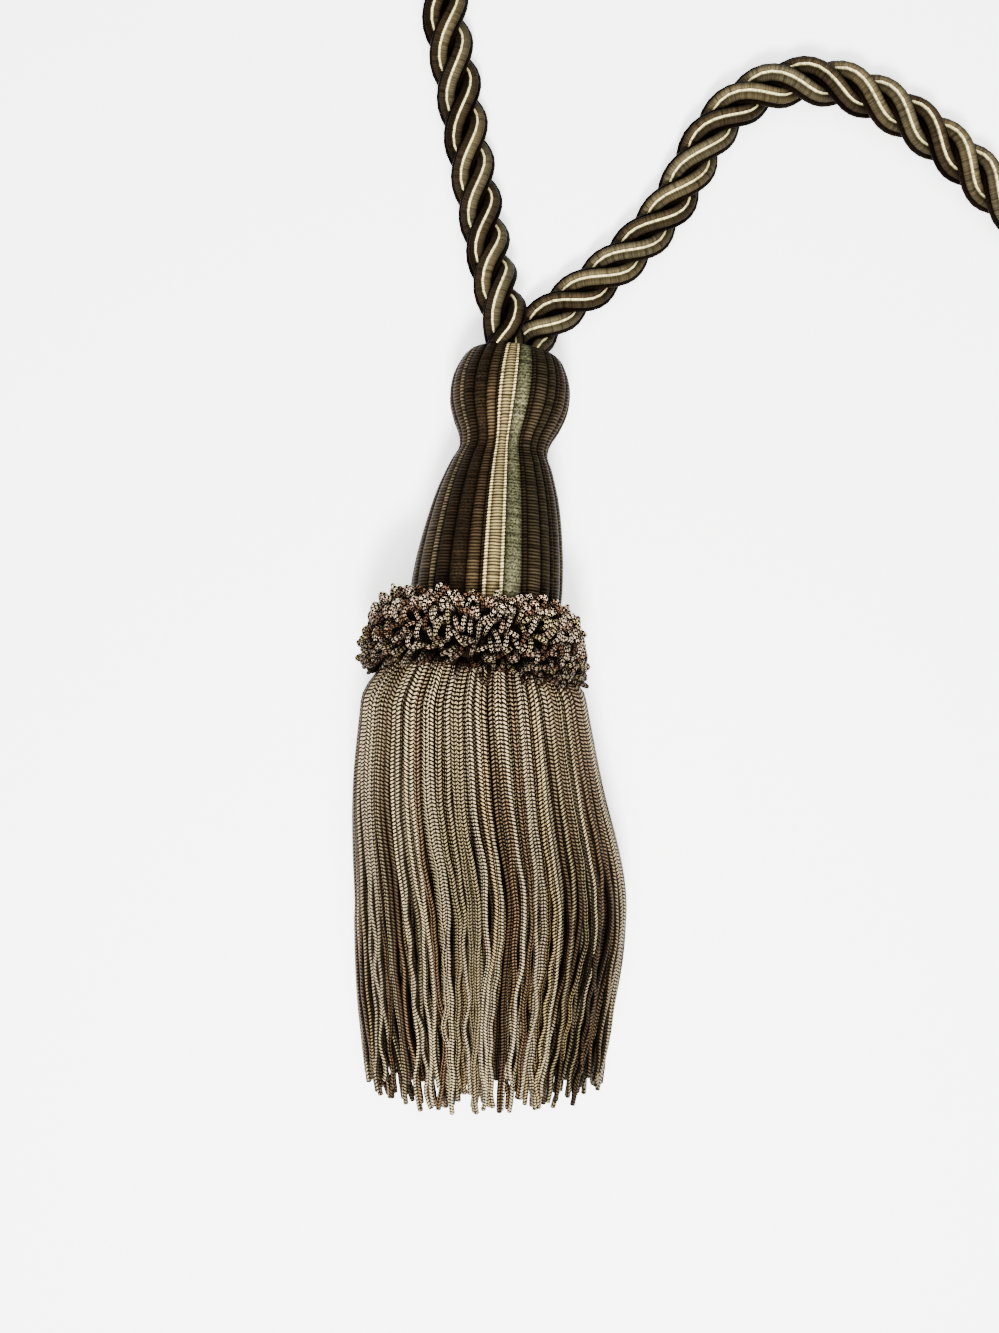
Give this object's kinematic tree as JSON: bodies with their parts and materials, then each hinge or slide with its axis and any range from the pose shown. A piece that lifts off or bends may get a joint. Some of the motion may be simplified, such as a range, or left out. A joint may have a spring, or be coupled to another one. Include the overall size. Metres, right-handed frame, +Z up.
{
  "type": "curtain tieback tassel",
  "caption": "Curtain tieback tassel: gimp-wound turned head, looped ruff, chainette skirt and a twisted rope loop, lying on a table.",
  "frame": {"origin": "on the table, under the middle of the tassel's box without its rope", "axes": "+Z up from the table, +Y along the tassel towards its rope, +X to the right with the rope away from the viewer"},
  "size_m": [0.1707, 0.3254, 0.0416],
  "materials": {
    "gimp": "satin rayon gimp cord in brown, olive and gold stripes",
    "chainette_loops": "speckled brown and cream chainette",
    "chainette": "satin knitted yarn in beige, gold and brown",
    "rope_plies": "satin-wrapped cords in dark brown, olive and cream"
  },
  "bodies": {
    "root": {"head": "gimp", "ruff": "chainette_loops", "skirt": "chainette", "rope": "rope_plies"}
  },
  "joints": []
}
